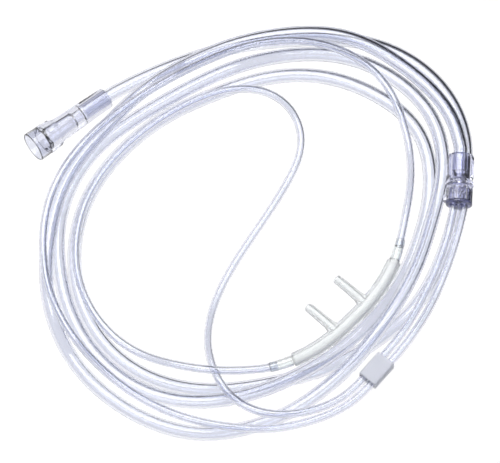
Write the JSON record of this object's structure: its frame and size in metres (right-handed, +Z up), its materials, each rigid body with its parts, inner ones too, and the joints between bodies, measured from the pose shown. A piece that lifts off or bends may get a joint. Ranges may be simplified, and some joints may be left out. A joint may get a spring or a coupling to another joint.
{
  "type": "nasal oxygen cannula",
  "caption": "Clear nasal oxygen cannula lying loosely coiled, with a soft two-prong nose piece, thin head tubes with a slider, a supply tube and a funnel connector.",
  "frame": {"origin": "on the floor, below the middle of the box around the fittings (the free tubes left out)", "axes": "+Z up from the floor the coil lies on; +X from the funnel connector's side to the side of the Y connector; +Y to the top of the coil as seen from above"},
  "size_m": [0.1555, 0.1501, 0.0175],
  "materials": {
    "clear_tube": "clear flexible vinyl, glossy, slightly bluish",
    "clear_fitting": "clear moulded vinyl, glossy, with a faint lavender tint",
    "soft_nose_piece": "soft translucent whitish vinyl, smooth with a low sheen",
    "tinted_slider": "translucent grey-blue, smooth",
    "tinted_plug": "translucent, darker lavender"
  },
  "bodies": {
    "cannula": {"nose_piece": "soft_nose_piece", "left_cuff": "clear_fitting", "right_cuff": "clear_fitting", "left_head_tube": "clear_tube", "right_head_tube": "clear_tube", "connector_barrel": "clear_fitting", "connector_ring": "clear_fitting", "connector_collar": "clear_fitting", "connector_plug": "tinted_plug", "supply_tube": "clear_tube", "funnel_connector": "clear_fitting"},
    "slider": {"slider": "tinted_slider"}
  },
  "joints": [
    {"name": "slider_slide", "type": "slide", "parent": "cannula", "child": "slider", "axis": [-0.6455, -0.7638, 0], "range_m": [-0.004, 0.004]}
  ]
}
